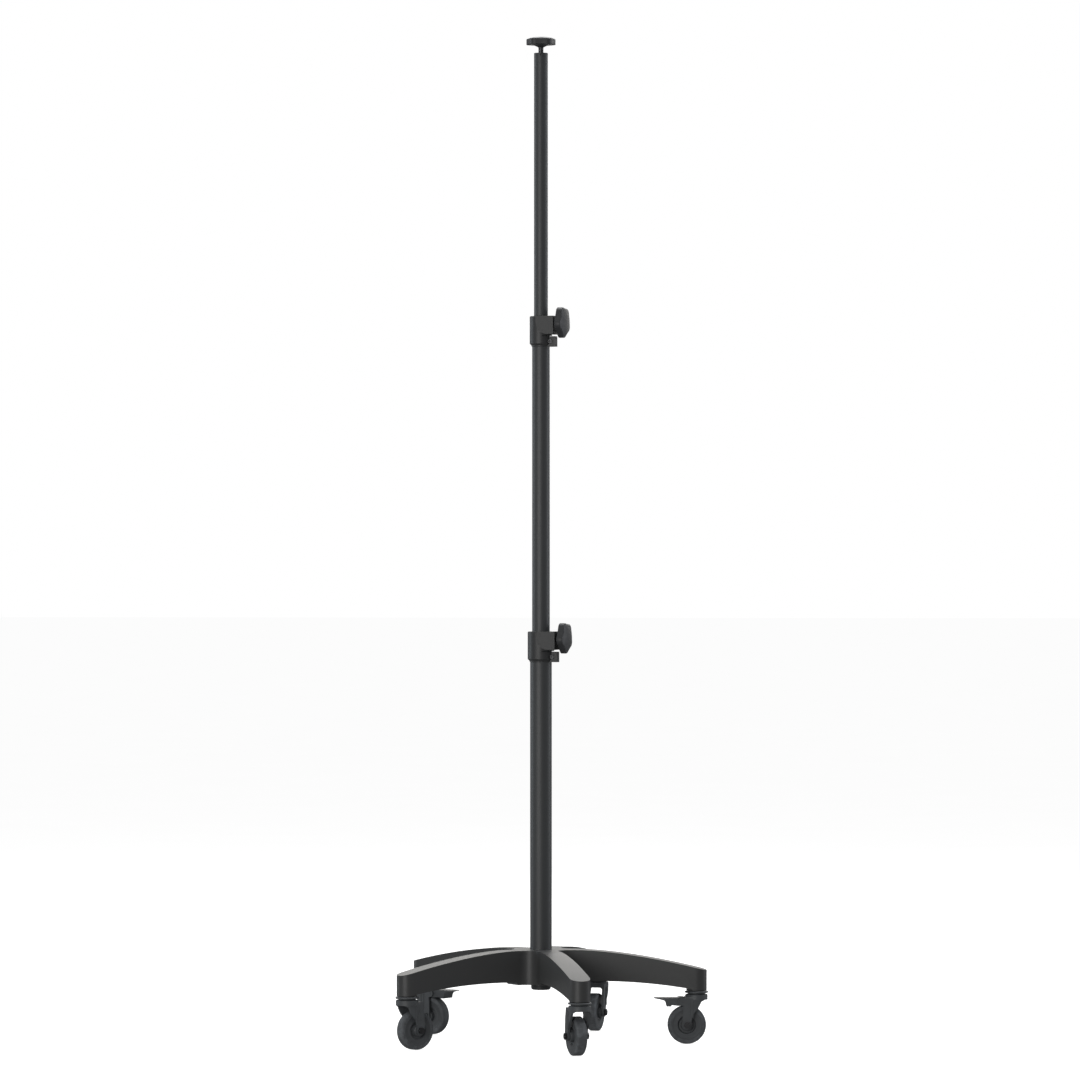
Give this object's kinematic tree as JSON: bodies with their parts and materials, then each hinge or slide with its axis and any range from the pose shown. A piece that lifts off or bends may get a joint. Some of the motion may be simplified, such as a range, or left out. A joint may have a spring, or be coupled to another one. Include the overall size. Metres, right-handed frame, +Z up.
{
  "type": "wheeled telescopic pole stand",
  "caption": "Telescopic pole stand on a star-shaped caster base, with a star-knob clamp on each pole joint and a knob on a short stud at the top.",
  "frame": {"origin": "on the floor, on the pole's axis", "axes": "+Z up along the pole, +X along the arm whose caster has the first brake"},
  "size_m": [0.6032, 0.6318, 1.9912],
  "materials": {
    "cast_base": "satin black powder coat on cast aluminium",
    "collar_coat": "satin black powder coat on die-cast metal",
    "tube_coat": "satin dark grey powder coat on steel tube",
    "knob_plastic": "fine-grained moulded plastic",
    "caster_plastic": "moulded nylon",
    "bush_nylon": "moulded nylon",
    "tyre": "matt dark grey rubber",
    "brake_rubber": "matt",
    "dark_steel": "blackened steel",
    "zinc_steel": "zinc plated",
    "brass": "machined"
  },
  "bodies": {
    "stand": {"base_casting": "cast_base", "hub_cap": "knob_plastic", "hub_bolt": "zinc_steel", "hub_washer": "zinc_steel", "lower_tube_plug": "zinc_steel", "lower_tube": "tube_coat", "lower_collar": "collar_coat", "lower_guide_bush": "bush_nylon", "lower_pinch_screw": "dark_steel", "lower_pinch_nut": "dark_steel", "caster_sockets": "bush_nylon", "caster_stems": "dark_steel", "caster_top_rings": "caster_plastic"},
    "middle_mast": {"middle_tube": "tube_coat", "middle_foot_bush": "bush_nylon", "upper_collar": "collar_coat", "upper_guide_bush": "bush_nylon", "upper_pinch_screw": "dark_steel", "upper_pinch_nut": "dark_steel"},
    "upper_mast": {"upper_tube": "tube_coat", "upper_foot_bush": "bush_nylon", "top_plug": "bush_nylon", "top_stud": "dark_steel", "plug_screw": "dark_steel"},
    "lower_shoe": {"lower_pressure_shoe": "brass"},
    "lower_clamp_knob": {"lower_knob": "knob_plastic", "lower_knob_screw": "dark_steel"},
    "upper_shoe": {"upper_pressure_shoe": "brass"},
    "upper_clamp_knob": {"upper_knob": "knob_plastic", "upper_knob_screw": "dark_steel"},
    "top_clamp_washer": {"top_washer": "dark_steel"},
    "top_clamp_knob": {"top_knob": "knob_plastic", "top_knob_insert": "brass"},
    "caster_fork_1": {"fork_1": "caster_plastic", "axle_set_1": "dark_steel"},
    "caster_wheel_1": {"wheel_core_1": "caster_plastic", "tyre_1": "tyre"},
    "brake_pedal_body_1": {"brake_pedal_1": "caster_plastic"},
    "brake_shoe_body_1": {"brake_shoe_1": "brake_rubber"},
    "caster_fork_2": {"fork_2": "caster_plastic", "axle_set_2": "dark_steel"},
    "caster_wheel_2": {"wheel_core_2": "caster_plastic", "tyre_2": "tyre"},
    "caster_fork_3": {"fork_3": "caster_plastic", "axle_set_3": "dark_steel"},
    "caster_wheel_3": {"wheel_core_3": "caster_plastic", "tyre_3": "tyre"},
    "brake_pedal_body_3": {"brake_pedal_3": "caster_plastic"},
    "brake_shoe_body_3": {"brake_shoe_3": "brake_rubber"},
    "caster_fork_4": {"fork_4": "caster_plastic", "axle_set_4": "dark_steel"},
    "caster_wheel_4": {"wheel_core_4": "caster_plastic", "tyre_4": "tyre"},
    "caster_fork_5": {"fork_5": "caster_plastic", "axle_set_5": "dark_steel"},
    "caster_wheel_5": {"wheel_core_5": "caster_plastic", "tyre_5": "tyre"}
  },
  "joints": [
    {"name": "middle_mast_slide", "type": "slide", "parent": "stand", "child": "middle_mast", "axis": [0, 0, 1], "range_m": [-0.55, 0]},
    {"name": "upper_mast_slide", "type": "slide", "parent": "middle_mast", "child": "upper_mast", "axis": [0, 0, 1], "range_m": [-0.5, 0]},
    {"name": "lower_shoe_slide", "type": "slide", "parent": "stand", "child": "lower_shoe", "axis": [0.9613, -0.2756, 0], "range_m": [0, 0.0025]},
    {"name": "lower_knob_turn", "type": "hinge", "parent": "lower_shoe", "child": "lower_clamp_knob", "pos_m": [0, 0, 0.802], "axis": [0.9613, -0.2756, 0], "range_deg": [0, 720]},
    {"name": "upper_shoe_slide", "type": "slide", "parent": "middle_mast", "child": "upper_shoe", "axis": [0.9613, -0.2756, 0], "range_m": [0, 0.0025]},
    {"name": "upper_knob_turn", "type": "hinge", "parent": "upper_shoe", "child": "upper_clamp_knob", "pos_m": [0, 0, 1.426], "axis": [0.9613, -0.2756, 0], "range_deg": [0, 720]},
    {"name": "top_washer_lift", "type": "slide", "parent": "upper_mast", "child": "top_clamp_washer", "axis": [0, 0, 1], "range_m": [0, 0.024]},
    {"name": "top_knob_turn", "type": "hinge", "parent": "top_clamp_washer", "child": "top_clamp_knob", "pos_m": [0, 0, 1.98], "axis": [0, 0, 1], "range_deg": [0, 5760]},
    {"name": "caster_swivel_1", "type": "hinge", "parent": "stand", "child": "caster_fork_1", "pos_m": [0.308, 0, 0.1], "axis": [0, 0, 1], "continuous": true},
    {"name": "wheel_spin_1", "type": "hinge", "parent": "caster_fork_1", "child": "caster_wheel_1", "pos_m": [0.28887, -0.00167, 0.038], "axis": [0.0872, -0.9962, 0], "continuous": true},
    {"name": "brake_pedal_press_1", "type": "hinge", "parent": "caster_fork_1", "child": "brake_pedal_body_1", "pos_m": [0.27911, -0.00253, 0.084], "axis": [0.0872, -0.9962, 0], "range_deg": [0, 15]},
    {"name": "brake_shoe_press_1", "type": "slide", "parent": "caster_fork_1", "child": "brake_shoe_body_1", "axis": [0, 0, -1], "range_m": [0, 0.0013]},
    {"name": "caster_swivel_2", "type": "hinge", "parent": "stand", "child": "caster_fork_2", "pos_m": [0.09518, 0.29293, 0.1], "axis": [0, 0, 1], "continuous": true},
    {"name": "wheel_spin_2", "type": "hinge", "parent": "caster_fork_2", "child": "caster_wheel_2", "pos_m": [0.09086, 0.27422, 0.038], "axis": [0.9744, -0.225, 0], "continuous": true},
    {"name": "caster_swivel_3", "type": "hinge", "parent": "stand", "child": "caster_fork_3", "pos_m": [-0.24918, 0.18104, 0.1], "axis": [0, 0, 1], "continuous": true},
    {"name": "wheel_spin_3", "type": "hinge", "parent": "caster_fork_3", "child": "caster_wheel_3", "pos_m": [-0.23272, 0.17115, 0.038], "axis": [0.515, 0.8572, 0], "continuous": true},
    {"name": "brake_pedal_press_3", "type": "hinge", "parent": "caster_fork_3", "child": "brake_pedal_body_3", "pos_m": [-0.22432, 0.1661, 0.084], "axis": [0.515, 0.8572, 0], "range_deg": [0, 15]},
    {"name": "brake_shoe_press_3", "type": "slide", "parent": "caster_fork_3", "child": "brake_shoe_body_3", "axis": [0, 0, -1], "range_m": [0, 0.0013]},
    {"name": "caster_swivel_4", "type": "hinge", "parent": "stand", "child": "caster_fork_4", "pos_m": [-0.24918, -0.18104, 0.1], "axis": [0, 0, 1], "continuous": true},
    {"name": "wheel_spin_4", "type": "hinge", "parent": "caster_fork_4", "child": "caster_wheel_4", "pos_m": [-0.23469, -0.16844, 0.038], "axis": [-0.6561, 0.7547, 0], "continuous": true},
    {"name": "caster_swivel_5", "type": "hinge", "parent": "stand", "child": "caster_fork_5", "pos_m": [0.09518, -0.29293, 0.1], "axis": [0, 0, 1], "continuous": true},
    {"name": "wheel_spin_5", "type": "hinge", "parent": "caster_fork_5", "child": "caster_wheel_5", "pos_m": [0.08768, -0.27525, 0.038], "axis": [-0.9205, -0.3907, 0], "continuous": true}
  ],
  "couplings": [
    {"joint": "lower_knob_turn", "follows": "lower_shoe_slide", "rad_per_m": 5026.5},
    {"joint": "upper_knob_turn", "follows": "upper_shoe_slide", "rad_per_m": 5026.5},
    {"joint": "top_knob_turn", "follows": "top_washer_lift", "rad_per_m": 4188.8},
    {"joint": "brake_shoe_press_1", "follows": "brake_pedal_press_1", "m_per_rad": 0.0049656},
    {"joint": "brake_shoe_press_3", "follows": "brake_pedal_press_3", "m_per_rad": 0.0049656}
  ]
}
